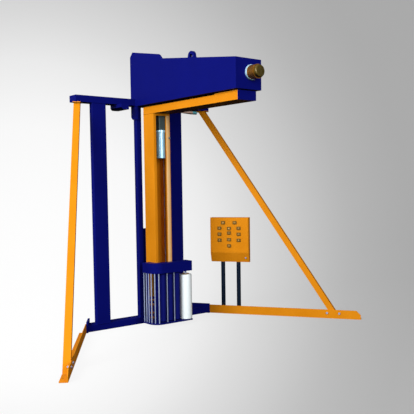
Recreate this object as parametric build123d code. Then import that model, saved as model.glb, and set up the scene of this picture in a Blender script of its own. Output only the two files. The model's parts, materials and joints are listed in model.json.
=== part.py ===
from build123d import *
import math
import os

# Free-standing rotary-arm stretch wrapper. Millimetres, +Z up, -Y is the side that the cantilever reaches
# towards, +X is the console side. Every shape is drawn in the frame's working axes, where y = 0 is the
# front face of the upright frame and x = 0 is the machine's centre plane, and shifted once on export.

# ---- upright frame -----------------------------------------------------------------------------------
beam_depth = 140.0            # section of the two long cross beams, front to back
beam_height = 70.0
beam_wall = 5.0
top_beam_length = 1780.0
top_beam_z = 2453.0           # underside of the top beam
post_width = 165.0            # the two outer posts
post_depth = 60.0
post_wall = 5.0
left_post_x = -616.0
right_post_x = 395.0
inner_post_width = 62.0       # the slim pair of posts under the cantilever
inner_post_x = 113.0
panel_top_z = 1080.0          # closing panel between the inner posts
panel_thickness = 40.0
cross_block_x = -345.0        # short cross block under the top beam, in the wide left bay
cross_block_width = 96.0
cross_block_height = 58.0
cross_block_front = 90.0      # how far it runs out ahead of the beam
cross_block_chamfer = 20.0
gusset_thickness = 16.0       # side plates below the cantilever's root
gusset_front = 35.0           # how far they run out ahead of the upright frame
gusset_drop = 145.0

# ---- cantilever --------------------------------------------------------------------------------------
box_reach = 1695.0            # front face of the cantilever, forward of the upright frame
box_base_z = top_beam_z - 8.0
box_front_top_z = box_base_z + 285.0
box_half_width = 160.0
box_rear = 85.0               # how far its head runs back over the top beam
box_wall = 6.0
beam_notch_gap = 0.5
cheek_thickness = 10.0        # the left side plate, which stands up past the box as a cheek
cheek_top_z = box_base_z + 595.0
cheek_length = 535.0
cheek_front_top_z = box_base_z + 498.0
box_rear_top_z = box_base_z + 445.0       # the box's top is level back to here, then slopes down to the front
cheek_chamfer = 50.0
lug_y = -839.0
lug_length = 142.0
lug_top_z = box_base_z + 488.0
lug_r = 52.0
lug_thickness = 30.0
lug_hole_r = 22.0

# ---- splayed floor beams and braces --------------------------------------------------------------------
splay_deg = 33.2              # each floor beam's angle from straight ahead
leg_base_x = 883.0            # where its centre line crosses the frame's front face
leg_length = 1811.0
leg_height = 100.0
leg_width = 75.0
leg_thickness = 8.0
leg_inner_offset = 40.0       # from the centre line to the web's inner face
leg_tip_chamfer = 50.0
end_plate_back = 240.0        # the carrying plate at each end of the bottom beam, behind the floor beam
end_plate_thickness = 20.0
end_plate_height = 115.0
brace_size = 66.0
brace_wall = 4.0
brace_foot_u = 1534.0         # foot centre, measured along the floor beam
foot_plate_length = 250.0
foot_plate_height = 84.0
foot_bolt_pitch = 140.0
foot_bolt_z = 62.0
brace_plate_thickness = 8.0
bolt_r = 8.0
bolt_clearance = 0.5
bolt_head_r = 14.0
bolt_head_height = 10.0
anchor_hole_r = 9.0
anchor_inset = 110.0          # from the floor beam's tip
anchor_v = 8.0

# ---- slewing drive -------------------------------------------------------------------------------------
pivot_y = -1500.0
slew_shaft_r = 40.0
running_gap = 0.05
bearing_r = 85.0
bearing_height = 38.0
sprocket_thickness = 10.0
arm_sprocket_r = 84.0         # tip radius
arm_sprocket_teeth = 36
drive_sprocket_r = 42.0
drive_sprocket_teeth = 18
slew_centre_distance = 132.0
chain_clearance = 0.6
chain_thickness = 6.0
slew_gearbox_size = 112.0
slew_gearbox_z = box_base_z + 93.0
slew_gearbox_height = 124.0
slew_output_r = 14.0
motor_x = 28.0
motor_z = box_base_z + 155.0
motor_flange_r = 74.0
motor_flange_thickness = 16.0
motor_barrel_r = 67.0
motor_barrel_length = 84.0
motor_cowl_r = 58.0
motor_cowl_length = 30.0
motor_fin_depth = 4.0
motor_fins = 28

# ---- rotating arm and mast -----------------------------------------------------------------------------
arm_width = 230.0
arm_wall = 6.0
arm_base_z = box_base_z - 97.0
arm_top_z = arm_base_z + 77.0
arm_front_reach = 170.0       # pivot to the arm's front end
pivot_cap_length = 344.0
pivot_cap_top_z = arm_base_z + 88.0
arm_end_thickness = 6.0
mast_back_reach = 1405.0      # pivot to the back of the mast
mast_depth = 195.0
mast_wall = 5.0
mast_left_x = -115.0
mast_right_x = 100.0
mast_left_lip = 30.0
mast_right_lip = 58.0
mast_foot_z = 70.0
mast_cap_thickness = 14.0
lift_motor_r = 50.0
lift_motor_x = 20.0
lift_motor_from_back = 130.0
lift_motor_base_z = arm_base_z - 488.0
lift_motor_height = 285.0
lift_flange_r = 62.0
lift_flange_height = 24.0
lift_gearbox_size = 92.0
lift_gearbox_top_z = arm_base_z - 23.0
lift_sprocket_x = 82.0
lift_sprocket_r = 36.0
lift_sprocket_teeth = 20
lift_shaft_r = 12.0
lift_drive_z = arm_base_z - 86.0
lift_idler_z = 140.0

# ---- film carriage -------------------------------------------------------------------------------------
carriage_gap = 3.0            # between the mast's front and the carriage's back
carriage_left = 206.0
carriage_right = 305.0
carriage_front_from_mast = 97.0
carriage_corner_r = 112.0
wing_length = 138.0           # how far the left wing runs back beside the mast
base_plate_z = 42.0
base_plate_thickness = 16.0
housing_z = 605.0
housing_top_z = 716.0
housing_wall = 4.0
back_plate_thickness = 5.0
wing_sheet_extra = 50.0       # how far the side sheet covers the mast behind the wing
back_plate_right = 165.0
roll_bay_depth = 34.0         # extra depth of base and housing behind the film roll
guard_rod_r = 6.0
guard_rod_inset = 10.0
guard_rods = 6
shoe_height = 80.0
shoe_zs = (80.0, 380.0)
shoe_thickness = 14.0
shoe_clearance = 0.5
roller_r = 33.0
roller_xs = (-68.0, 27.5, 122.0)
roller_from_mast = 52.0
roller_journal_r = 9.0
idler_forward = 14.0          # idler rods, ahead of the rollers' centre line
idler_xs = (-20.0, 75.0)
roller_end_gap = 12.0
film_r = 70.0
film_core_r = 41.0
film_bore_r = 38.0
film_x = 256.0
film_from_mast = 36.0
film_length = 500.0
spindle_r = 12.0
film_seat_gap = 3.0
gearmotor_r = 30.0
gearmotor_x = -158.0
gearmotor_behind_mast_front = 34.0
gear_zs = (105.0, 160.0, 249.0, 300.0)
gearbox_z = 350.0
gearbox_height = 90.0

# ---- console -------------------------------------------------------------------------------------------
console_u = 265.0             # centre of the box along the right floor beam
console_width = 474.0
console_depth = 80.0
console_face_v = -62.0        # the face looks inwards, away from the floor beam's outer side
console_z = 632.0
console_height = 537.0
console_wall = 3.0
console_fold_z = 742.0        # below this line the face slopes back
console_fold_depth = 34.0
console_leg_r = 25.0
console_leg_spacing = 194.0
door_thickness = 3.0
door_gap = 1.0
door_margin = 8.0
button_width = 46.0
button_height = 38.0
button_depth = 12.0
button_travel = 4.0
button_clearance = 0.5
lock_r = 9.0
lock_z = 684.0                # on the sloping band below the door
lock_inset = 38.0             # from the console's free side
sensor_x = 403.0
sensor_z = 2414.0
sensor_length = 206.0
sensor_small_r = 6.0
sensor_large_r = 19.0
sensor_collar_length = 14.0
sensor_cap_length = 62.0
sensor_cap_r = 18.0

# ---- values worked out from those above ------------------------------------------------------------------
splay = math.radians(splay_deg)
overall_front = box_reach + motor_flange_thickness + motor_barrel_length + motor_cowl_length
overall_rear = end_plate_back * math.cos(splay) - leg_inner_offset * math.sin(splay)
origin_y = (overall_front - overall_rear) / 2
mast_back_y = pivot_y + mast_back_reach
mast_front_y = mast_back_y - mast_depth
carriage_back_y = mast_front_y - carriage_gap
carriage_front_y = mast_front_y - carriage_front_from_mast
arm_front_y = pivot_y - arm_front_reach
brace_top_u = -beam_depth / 2 / math.cos(splay)
brace_lean = math.atan2(top_beam_z - leg_thickness, brace_foot_u - brace_top_u)
leg_plane = Plane(origin=(leg_base_x, 0, 0), x_dir=(math.sin(splay), -math.cos(splay), 0), z_dir=(0, 0, 1))


def block(x0, x1, y0, y1, z0, z1):
    return Pos((x0 + x1) / 2, (y0 + y1) / 2, (z0 + z1) / 2) * Box(abs(x1 - x0), abs(y1 - y0), abs(z1 - z0))


def rod_z(x, y, z0, z1, r):
    return Pos(x, y, (z0 + z1) / 2) * Cylinder(r, z1 - z0)


def rod_y(x, z, y0, y1, r):
    return Pos(x, (y0 + y1) / 2, z) * Rot(90, 0, 0) * Cylinder(r, abs(y1 - y0))


def rod_x(y, z, x0, x1, r):
    return Pos((x0 + x1) / 2, y, z) * Rot(0, 90, 0) * Cylinder(r, abs(x1 - x0))


def prism(points, plane, amount, both=False):
    """The outline through points, drawn on plane and pushed out by amount."""
    outline = Polyline(*points, close=True)
    return extrude(plane * make_face(outline), amount=amount, both=both)


def hollow_tube_x(length, y0, y1, z0, z1, wall):
    """A closed tube along X with a drain hole in its back face."""
    outer = block(-length / 2, length / 2, y0, y1, z0, z1)
    inner = block(-length / 2 + wall, length / 2 - wall, y0 + wall, y1 - wall, z0 + wall, z1 - wall)
    drain = rod_y(length / 2 - 60, (z0 + z1) / 2, y1 - 2 * wall, y1 + wall, 6)
    return outer - inner - drain


def post(x, width, z0, z1):
    outer = block(x - width / 2, x + width / 2, 0, post_depth, z0, z1)
    inset = width / 2 - post_wall
    inner = block(x - inset, x + inset, post_wall, post_depth - post_wall, z0 - 1, z1 + 1)
    tube = outer - inner
    return fillet(tube.edges().filter_by(Axis.Z).group_by(Axis.Y)[0], 3)


def mirrored(shape):
    return mirror(shape, about=Plane.YZ)


# ---- frame pieces ----------------------------------------------------------------------------------------
def top_beam():
    beam = hollow_tube_x(top_beam_length, 0, beam_depth, top_beam_z, top_beam_z + beam_height, beam_wall)
    return beam


def end_plate():
    """The thick upright plate welded across the beam's mitred end, which carries a floor beam on the same line."""
    v1 = -leg_inner_offset
    return leg_plane.location * block(-end_plate_back, 0, v1 - end_plate_thickness, v1, 0, end_plate_height)


def bottom_beam():
    length = 2 * leg_base_x
    beam = hollow_tube_x(length, 0, beam_depth, 0, beam_height, beam_wall)
    v1 = -leg_inner_offset - end_plate_thickness
    outside = leg_plane.location * block(-2 * end_plate_back, end_plate_back, v1, v1 + length, -1, beam_height + 1)
    beam = beam - outside - mirrored(outside) - rod_z(0, beam_depth / 2, -1, beam_wall + 1, 6)
    plate = end_plate()
    return beam + plate + mirrored(plate)


def inner_posts():
    one = post(inner_post_x, inner_post_width, beam_height, box_base_z)
    return Compound([one, mirrored(one)])


def column_panel():
    inset = inner_post_x - inner_post_width / 2
    back = 10 + panel_thickness
    outer = block(-inset, inset, 10, back, beam_height, panel_top_z)
    hollow = block(-inset + 3, inset - 3, 13, back + 1, beam_height + 3, panel_top_z - 3)
    return outer - hollow


def root_gussets():
    """The pair of side plates that carry the cantilever's root down over the inner posts."""
    x0 = box_half_width - gusset_thickness
    z1 = box_base_z
    z0 = z1 - gusset_drop
    rear = box_rear
    outline = [(-gusset_front, z1), (rear, z1), (rear, z0 + 30), (rear - 30, z0), (-gusset_front, z0)]
    plate = Pos(x0, 0, 0) * prism(outline, Plane.YZ, gusset_thickness)
    return Compound([plate, mirrored(plate)])


def under_beam_block():
    left, right = cross_block_x - cross_block_width / 2, cross_block_x + cross_block_width / 2
    z0 = top_beam_z - cross_block_height
    c = cross_block_chamfer
    outline = [(right, top_beam_z), (left, top_beam_z), (left, z0 + c), (left + c, z0), (right, z0)]
    return Pos(0, -cross_block_front, 0) * prism(outline, Plane.XZ, -cross_block_front - beam_depth)


def box_outline(offset):
    """The cantilever box's side view, drawn offset inside the real one, as (y, z) points."""
    o = offset
    return [(box_rear - o, box_base_z + o), (box_rear - o, box_rear_top_z - o), (-cheek_length, box_rear_top_z - o),
            (o - box_reach, box_front_top_z - o), (o - box_reach, box_base_z + o)]


def cheek_outline():
    rear, c = box_rear, cheek_chamfer
    front = -cheek_length
    return [(rear, box_base_z), (rear, cheek_top_z - c), (rear - c, cheek_top_z), (front + 62, cheek_front_top_z),
            (front + 35, cheek_front_top_z - 15), (front, box_rear_top_z), (front, box_base_z)]


def cantilever_body(offset):
    return prism(box_outline(offset), Plane.YZ, box_half_width - offset, both=True)


def cantilever_shell():
    """One welded shell, with the shaft's hole underneath and the motor's hole in the front face."""
    g = beam_notch_gap
    x = box_half_width + 1
    notch = block(-x, x, -g, box_rear + 1, top_beam_z - g, top_beam_z + beam_height + g)
    cheek = Pos(-box_half_width, 0, 0) * prism(cheek_outline(), Plane.YZ, cheek_thickness)
    shell = cantilever_body(0) - cantilever_body(box_wall) + cheek - notch
    shaft_hole = rod_z(0, pivot_y, box_base_z - 1, box_base_z + box_wall + 1, slew_shaft_r + 4)
    spigot_hole = rod_y(motor_x, motor_z, -box_reach - 1, -box_reach + box_wall + 1, motor_barrel_r - 20)
    return shell - shaft_hole - spigot_hole


def lifting_lug():
    """A rounded eye plate standing on the box's sloping top."""
    eye_z = lug_top_z - lug_r
    half = lug_length / 2
    outline = [(lug_y - half, eye_z - lug_r), (lug_y - lug_r, eye_z), (lug_y + lug_r, eye_z),
               (lug_y + half, eye_z - lug_r)]
    plate = Pos(-lug_thickness / 2, 0, 0) * prism(outline, Plane.YZ, lug_thickness)
    eye = rod_x(lug_y, eye_z, -lug_thickness / 2, lug_thickness / 2, lug_r)
    hole = rod_x(lug_y, eye_z, -lug_thickness, lug_thickness, lug_hole_r)
    return plate + eye - hole - cantilever_body(0)


# ---- floor beams and braces --------------------------------------------------------------------------------
def floor_beam():
    v0 = -leg_inner_offset
    web = block(0, leg_length, v0, v0 + leg_thickness, 0, leg_height)
    flange = block(0, leg_length, v0, v0 + leg_width, 0, leg_thickness)
    c = leg_tip_chamfer
    corner = [(leg_length - c, leg_height + 1), (leg_length + 1, leg_height + 1), (leg_length + 1, leg_height - c)]
    tip = Pos(0, v0 + leg_width, 0) * prism(corner, Plane.XZ, 2 * leg_width)
    beam = web + flange - tip
    beam -= rod_z(leg_length - anchor_inset, anchor_v, -1, leg_thickness + 1, anchor_hole_r)
    for u in bolt_us():
        beam -= rod_y(u, foot_bolt_z, v0 - 1, v0 + leg_thickness + 1, bolt_r + bolt_clearance)
    return leg_plane.location * beam


def brace_u(z):
    """Where the brace's centre line is along the floor beam at height z."""
    return brace_foot_u - (z - leg_thickness) / math.tan(brace_lean)


def bolt_us():
    centre = brace_u(foot_bolt_z)
    return (centre - foot_bolt_pitch / 2, centre + foot_bolt_pitch / 2)


def brace_outline(inset, top, foot):
    """The brace's side view between its level cuts, as (u, z) points."""
    half = (brace_size / 2 - inset) / math.sin(brace_lean)
    return [(brace_u(top) - half, top), (brace_u(top) + half, top),
            (brace_u(foot) + half, foot), (brace_u(foot) - half, foot)]


def brace():
    v0 = -leg_inner_offset + leg_thickness
    top = top_beam_z - brace_plate_thickness
    outer = Pos(0, v0 + brace_size, 0) * prism(brace_outline(0, top, leg_thickness), Plane.XZ, brace_size)
    core = prism(brace_outline(brace_wall, top + 1, leg_thickness - 1), Plane.XZ, brace_size - 2 * brace_wall)
    tube = outer - Pos(0, v0 + brace_size - brace_wall, 0) * core
    plate = block(brace_top_u - 62, brace_top_u + 78, v0 - 6, v0 + brace_size + 6, top, top_beam_z)
    half = foot_plate_length / 2
    centre = brace_u(foot_bolt_z)
    foot = block(centre - half, centre + half, v0, v0 + brace_plate_thickness,
                 leg_thickness, leg_thickness + foot_plate_height)
    piece = tube + plate + foot
    for u in bolt_us():
        piece -= rod_y(u, foot_bolt_z, v0 - 1, v0 + brace_plate_thickness + 1, bolt_r + bolt_clearance)
    return leg_plane.location * piece


def foot_bolt(u):
    v0 = -leg_inner_offset
    grip = leg_thickness + brace_plate_thickness
    head = Pos(u, v0, foot_bolt_z) * Rot(90, 0, 0) * extrude(RegularPolygon(bolt_head_r, 6), amount=bolt_head_height)
    nut = Pos(u, v0 + grip, foot_bolt_z) * Rot(-90, 0, 0) * extrude(RegularPolygon(bolt_head_r, 6), amount=13)
    return head + nut + rod_y(u, foot_bolt_z, v0 - 1, v0 + grip + 18, bolt_r)


def frame_bolts():
    right = [leg_plane.location * foot_bolt(u) for u in bolt_us()]
    return Compound(right + [mirrored(b) for b in right])


# ---- slewing drive -----------------------------------------------------------------------------------------
def sprocket(tip_r, teeth, thickness, bore_r):
    """A chain wheel, flat on z = 0, with trapezoid teeth and a boss."""
    root_r = tip_r * (1 - 5.2 / teeth)
    points = []
    for k in range(teeth):
        for part, r in ((-0.3, root_r), (-0.13, tip_r), (0.13, tip_r), (0.3, root_r)):
            a = 2 * math.pi * (k + part) / teeth
            points.append((r * math.cos(a), r * math.sin(a)))
    return prism(points, Plane.XY, thickness) - Pos(0, 0, thickness / 2) * Cylinder(bore_r, 2 * thickness)


def chain_loop(r_big, r_small, distance, width):
    """A closed chain drawn as a band round two wheels, the second at +X by distance, on z = 0."""
    def belt(extra):
        a, b = r_big + extra, r_small + extra
        tilt = math.acos((a - b) / distance)
        p = [(a * math.cos(tilt), a * math.sin(tilt)), (distance + b * math.cos(tilt), b * math.sin(tilt))]
        body = prism([p[0], p[1], (p[1][0], -p[1][1]), (p[0][0], -p[0][1])], Plane.XY, width)
        return body + Pos(0, 0, width / 2) * Cylinder(a, width) + Pos(distance, 0, width / 2) * Cylinder(b, width)
    return belt(chain_clearance + chain_thickness) - belt(chain_clearance)


sprocket_z = box_base_z + box_wall + bearing_height + 14.0
drive_y = pivot_y - slew_centre_distance


def slew_bearing_housing():
    z0 = box_base_z + box_wall
    ring = rod_z(0, pivot_y, z0, z0 + bearing_height, bearing_r)
    neck = rod_z(0, pivot_y, z0 - 1, z0 + bearing_height + 1, slew_shaft_r + running_gap)
    step = rod_z(0, pivot_y, z0 + 14, z0 + bearing_height + 1, bearing_r + 1)
    collar = rod_z(0, pivot_y, z0 + 14, z0 + bearing_height, bearing_r - 22)
    return (ring - step) + (collar - neck) - neck


def slew_gearbox():
    half = slew_gearbox_size / 2
    z0, z1 = slew_gearbox_z, slew_gearbox_z + slew_gearbox_height
    case = block(-half, half, drive_y - half, drive_y + half, z0, z1)
    case = chamfer(case.edges().filter_by(Axis.Z), 8)
    spigot = rod_y(motor_x, motor_z, -box_reach, drive_y - half + 2, motor_barrel_r - 22)
    return case + spigot - rod_z(0, drive_y, z0 - 1, z0 + 60, slew_output_r + running_gap)


def slew_motor_flange():
    ring = rod_y(motor_x, motor_z, -box_reach - motor_flange_thickness, -box_reach, motor_flange_r)
    return chamfer(ring.edges().filter_by(GeomType.CIRCLE).group_by(Axis.Y)[0], 4)


def slew_motor_barrel():
    y1 = -box_reach - motor_flange_thickness
    y0 = y1 - motor_barrel_length
    barrel = rod_y(motor_x, motor_z, y0, y1, motor_barrel_r)
    for k in range(motor_fins):
        slot = Pos(0, 0, motor_barrel_r) * Box(6, motor_barrel_length - 16, 2 * motor_fin_depth)
        barrel -= Pos(motor_x, (y0 + y1) / 2, motor_z) * Rot(0, 360 * k / motor_fins, 0) * slot
    return barrel


def slew_motor_cowl():
    y1 = -box_reach - motor_flange_thickness - motor_barrel_length
    cowl = rod_y(motor_x, motor_z, y1 - motor_cowl_length, y1, motor_cowl_r)
    cowl = fillet(cowl.edges().filter_by(GeomType.CIRCLE).group_by(Axis.Y)[0], 12)
    for k in range(-3, 4):
        width = 2 * math.sqrt((motor_cowl_r - 18) ** 2 - (k * 10) ** 2)
        cowl -= Pos(motor_x, y1 - motor_cowl_length, motor_z + k * 10) * Box(width, 12, 4)
    return cowl


def slew_drive_sprocket():
    wheel = Pos(0, drive_y, sprocket_z) * sprocket(drive_sprocket_r, drive_sprocket_teeth, sprocket_thickness, 8)
    return wheel + rod_z(0, drive_y, sprocket_z - 6, slew_gearbox_z + 55, slew_output_r)


def slew_chain():
    loop = chain_loop(arm_sprocket_r, drive_sprocket_r, slew_centre_distance, sprocket_thickness - 2)
    return Pos(0, pivot_y, sprocket_z + 1) * Rot(0, 0, -90) * loop


def slew_shaft():
    shaft = rod_z(0, pivot_y, pivot_cap_top_z, sprocket_z + 40, slew_shaft_r)
    collar_z = box_base_z + box_wall + bearing_height + 1.0
    collar = rod_z(0, pivot_y, collar_z, sprocket_z + 1, slew_shaft_r + 16)
    wheel = Pos(0, pivot_y, sprocket_z) * sprocket(
        arm_sprocket_r, arm_sprocket_teeth, sprocket_thickness, slew_shaft_r - 2)
    return shaft + collar + wheel


# ---- rotating arm and mast ---------------------------------------------------------------------------------
def arm_beam():
    half = arm_width / 2
    y0 = arm_front_y + arm_end_thickness
    outer = block(-half, half, y0, mast_back_y, arm_base_z, arm_top_z)
    inner = block(-half + arm_wall, half - arm_wall, y0 - 1, mast_back_y + 1, arm_base_z + arm_wall, arm_top_z - arm_wall)
    return outer - inner + pivot_cap()


def pivot_cap():
    """The raised plate over the arm's pivot end, which carries the slewing shaft."""
    half = arm_width / 2
    y0 = arm_front_y + arm_end_thickness
    y1 = y0 + pivot_cap_length
    outline = [(y0, arm_top_z), (y0, pivot_cap_top_z), (y1 - 22, pivot_cap_top_z), (y1, arm_top_z)]
    return Pos(-half, 0, 0) * prism(outline, Plane.YZ, arm_width)


def arm_end_plate():
    half = arm_width / 2
    return block(-half, half, arm_front_y, arm_front_y + arm_end_thickness, arm_base_z, pivot_cap_top_z)


def mast_channel():
    """A lipped channel, open towards the pivot, closed by a welded cap under the arm."""
    w = mast_wall
    x0, x1 = mast_left_x, mast_right_x
    cap_z = arm_base_z - mast_cap_thickness
    outer = block(x0, x1, mast_front_y, mast_back_y, mast_foot_z, arm_base_z)
    inner = block(x0 + w, x1 - w, mast_front_y + w, mast_back_y - w, mast_foot_z - 1, cap_z)
    slot = block(x0 + mast_left_lip, x1 - mast_right_lip, mast_front_y - 1, mast_front_y + w + 1,
                 mast_foot_z - 1, cap_z - 10)
    idler_hole = rod_x(lift_y, lift_idler_z, x1 - w - 1, x1 + 1, lift_shaft_r + running_gap)
    return outer - inner - slot - idler_hole


lift_y = mast_back_y - lift_motor_from_back


def lift_motor():
    z1 = lift_motor_base_z + lift_motor_height
    body = rod_z(lift_motor_x, lift_y, lift_motor_base_z, z1, lift_motor_r)
    body = fillet(body.edges().filter_by(GeomType.CIRCLE).group_by(Axis.Z)[0], 8)
    return body + rod_z(lift_motor_x, lift_y, z1, z1 + lift_flange_height, lift_flange_r)


def lift_gearbox():
    z0 = lift_motor_base_z + lift_motor_height + lift_flange_height
    half = lift_gearbox_size / 2
    case = block(lift_motor_x - half, lift_motor_x + half, lift_y - half, lift_y + half, z0, lift_gearbox_top_z)
    case = chamfer(case.edges().filter_by(Axis.Z), 7)
    foot = block(lift_motor_x - 30, lift_motor_x + 30, lift_y + half, mast_back_y - mast_wall, z0 + 20,
                 lift_gearbox_top_z - 20)
    bore = rod_x(lift_y, lift_drive_z, lift_motor_x, lift_motor_x + half + 1, lift_shaft_r + running_gap)
    return case + foot - bore


def lift_wheel(z, x0, x1):
    wheel = sprocket(lift_sprocket_r, lift_sprocket_teeth, 8, 6)
    return Pos(lift_sprocket_x - 4, lift_y, z) * Rot(0, 90, 0) * wheel + rod_x(lift_y, z, x0, x1, lift_shaft_r)


def lift_drive_sprocket():
    return lift_wheel(lift_drive_z, lift_motor_x + 2, lift_sprocket_x + 8)


def lift_idler_sprocket():
    return lift_wheel(lift_idler_z, lift_sprocket_x - 8, mast_right_x + 2)


def lift_chain():
    loop = chain_loop(lift_sprocket_r, lift_sprocket_r, lift_drive_z - lift_idler_z, 6)
    return Pos(lift_sprocket_x - 3, lift_y, lift_drive_z) * Rot(0, 90, 0) * loop


# ---- film carriage -----------------------------------------------------------------------------------------
def carriage_plan(inset, height):
    """The outline shared by the base plate and the housing, inset all round."""
    i = inset
    left, right = -carriage_left + i, carriage_right - i
    front, back = carriage_front_y + i, carriage_back_y - i
    wing_back = carriage_back_y + wing_length - i
    side = mast_left_x - carriage_gap - i
    bay = back_plate_right + i
    points = [(left, front), (right, front), (right, back + roll_bay_depth), (bay, back + roll_bay_depth),
              (bay, back), (side, back), (side, wing_back), (left, wing_back)]
    body = prism(points, Plane.XY, height)
    r = carriage_corner_r - i
    corner = body.edges().filter_by(Axis.Z).sort_by_distance((left, front, height / 2))[0]
    return fillet(corner, r)


def base_plate():
    plate = Pos(0, 0, base_plate_z) * carriage_plan(0, base_plate_thickness)
    for x in roller_xs:
        plate -= rod_z(x, roller_y, base_plate_z - 1, housing_z, roller_journal_r + running_gap)
    return plate


roller_y = mast_front_y - roller_from_mast
film_y = mast_front_y - film_from_mast
base_top_z = base_plate_z + base_plate_thickness


def housing():
    """The covered top of the carriage: a closed box over the rollers, thin-walled, open inside."""
    height = housing_top_z - housing_z
    outer = Pos(0, 0, housing_z) * carriage_plan(0, height)
    inner = Pos(0, 0, housing_z + 12) * carriage_plan(housing_wall, height - 12 - housing_wall)
    body = outer - inner
    body -= rod_z(0, roller_y, housing_z - 1, housing_z + 13, 5)
    for x in roller_xs:
        body -= rod_z(x, roller_y, housing_z - 1, housing_z + 13, roller_journal_r + running_gap)
    return body


def back_plate():
    """One folded sheet: the back behind the rollers and the side of the left wing."""
    t = back_plate_thickness
    side = mast_left_x - carriage_gap
    back = block(side - t, back_plate_right, carriage_back_y - t, carriage_back_y, base_top_z, housing_z)
    wing_end_y = carriage_back_y + wing_length + wing_sheet_extra
    wing = block(side - t, side, carriage_back_y - t, wing_end_y, base_top_z, housing_z)
    return back + wing


def guard_rod_places():
    """Even steps along the wing's side and round the front left corner."""
    x = -carriage_left + guard_rod_inset
    r = carriage_corner_r - guard_rod_inset
    straight_end = carriage_front_y + carriage_corner_r
    straight_start = carriage_back_y + wing_length - guard_rod_inset
    straight = straight_start - straight_end
    arc = r * math.pi / 2
    places = []
    for k in range(guard_rods):
        s = (straight + arc) * k / guard_rods
        if s <= straight:
            places.append((x, straight_start - s))
        else:
            a = math.pi + (s - straight) / r
            places.append((x + r + r * math.cos(a), straight_end + r * math.sin(a)))
    return places


def upright_rods():
    """The cage round the left corner and the two film idlers between the rollers, all cut from one rod."""
    places = guard_rod_places() + [(x, roller_y - idler_forward) for x in idler_xs]
    return Compound([rod_z(x, y, base_top_z, housing_z, guard_rod_r) for x, y in places])


def guide_block():
    """The bracket through the mast's slot, its sliding shoes behind the lips and its clamp on the chain."""
    left, right = mast_left_x + mast_left_lip + 6, mast_right_x - mast_right_lip - 6
    w = mast_wall
    rear = mast_front_y + w + shoe_clearance
    piece = block(left, right, carriage_back_y, rear, shoe_zs[0], shoe_zs[1] + shoe_height)
    for z in shoe_zs:
        piece += block(mast_left_x + w + 3, mast_right_x - w - 3, rear, rear + shoe_thickness, z, z + shoe_height)
    clamp_y = lift_y - lift_sprocket_r - chain_clearance - chain_thickness - 0.6
    clamp = block(lift_sprocket_x - 16, lift_sprocket_x + 10, rear + 8, clamp_y, shoe_zs[1] + 10, shoe_zs[1] + 50)
    return piece + clamp


def film_roller(x):
    low, high = base_top_z + roller_end_gap, housing_z - roller_end_gap
    barrel = rod_z(x, roller_y, low, high, roller_r)
    barrel = chamfer(barrel.edges().filter_by(GeomType.CIRCLE), 3)
    return barrel + rod_z(x, roller_y, base_plate_z + 1, housing_z + 30, roller_journal_r)


def carriage_gearmotor():
    """The roller drive in the left corner: motor, gearbox and two chain wheels on one upright shaft."""
    x, y = gearmotor_x, mast_front_y + gearmotor_behind_mast_front
    shaft = rod_z(x, y, base_top_z, housing_z, 9)
    motor = rod_z(x, y, gearbox_z + gearbox_height - 1, housing_z, gearmotor_r)
    box = block(x - 26, x + 26, y - 24, y + 24, gearbox_z, gearbox_z + gearbox_height)
    wheels = [Pos(x, y, z) * sprocket(gearmotor_r, 16, 14, 5) for z in gear_zs]
    piece = shaft + motor + box
    for wheel in wheels:
        piece += wheel
    return piece


def film_spindle():
    rod = rod_z(film_x, film_y, base_top_z, housing_z, spindle_r)
    return rod + rod_z(film_x, film_y, base_top_z, base_top_z + 2, 30)


def film_roll():
    z0 = base_top_z + film_seat_gap
    film = rod_z(film_x, film_y, z0, z0 + film_length, film_r)
    film = chamfer(film.edges().filter_by(GeomType.CIRCLE), 1.5)
    core = rod_z(film_x, film_y, z0, z0 + film_length + 12, film_core_r)
    hollow = rod_z(film_x, film_y, z0 + 24, z0 + film_length - 24, film_bore_r)
    bore = rod_z(film_x, film_y, z0 - 1, z0 + film_length + 13, spindle_r + running_gap)
    return film + core - hollow - bore


# ---- console -----------------------------------------------------------------------------------------------
def console_side(depth_offset, wall):
    """Side view of the console as (v, z) points, inset by wall; the face is at the low v."""
    face = console_face_v + wall + depth_offset
    back = console_face_v + console_depth - wall
    z0, z1 = console_z + wall, console_z + console_height - wall
    slope = console_fold_depth * (console_fold_z - z0) / (console_fold_z - console_z)
    return [(face, console_fold_z), (face, z1), (back, z1), (back, z0), (face + slope, z0)]


def console_shell():
    half = console_width / 2
    outer = Pos(console_u - half, 0, 0) * prism(console_side(0, 0), Plane.YZ, console_width)
    inner_half = half - console_wall
    inner = Pos(console_u - inner_half, 0, 0) * prism(console_side(0, console_wall), Plane.YZ, 2 * inner_half)
    opening = block(console_u - half + 14, console_u + half - 14, console_face_v - 1, console_face_v + 10,
                    console_fold_z + 14, console_z + console_height - 34)
    u, v, z = lock_place()
    lock_hole = rod_y(u, z, v - 20, v + 20, lock_r + running_gap)
    return leg_plane.location * (outer - inner - opening - lock_hole)


def door_v():
    return console_face_v - door_gap


def console_door():
    half = console_width / 2 - door_margin
    z0, z1 = console_fold_z + 6, console_z + console_height - 22
    sheet = block(console_u - half, console_u + half, door_v() - door_thickness, door_v(), z0, z1)
    for u, z in button_places():
        w, h = button_width / 2 - 3 + button_clearance, button_height / 2 - 3 + button_clearance
        sheet -= block(u - w, u + w, door_v() - 10, door_v() + 10, z - h, z + h)
    knuckle = Pos(console_u - half, door_v() - 4, 0) * Pos(0, 0, (z0 + z1) / 2) * Cylinder(4, z1 - z0)
    return leg_plane.location * (sheet + knuckle)


def button_places():
    """(u, z) of the twelve push buttons: a pair on top, then columns of three, four and three."""
    top_z, pitch = 1042.0, 72.0
    side = 119.0
    places = [(console_u - 73, 1108.0), (console_u + 71, 1108.0)]
    for k in range(3):
        places += [(console_u - side, top_z - k * pitch), (console_u + side, top_z - k * pitch)]
    places += [(console_u, z) for z in (1038.0, 984.0, 905.0, 830.0)]
    return places


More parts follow.
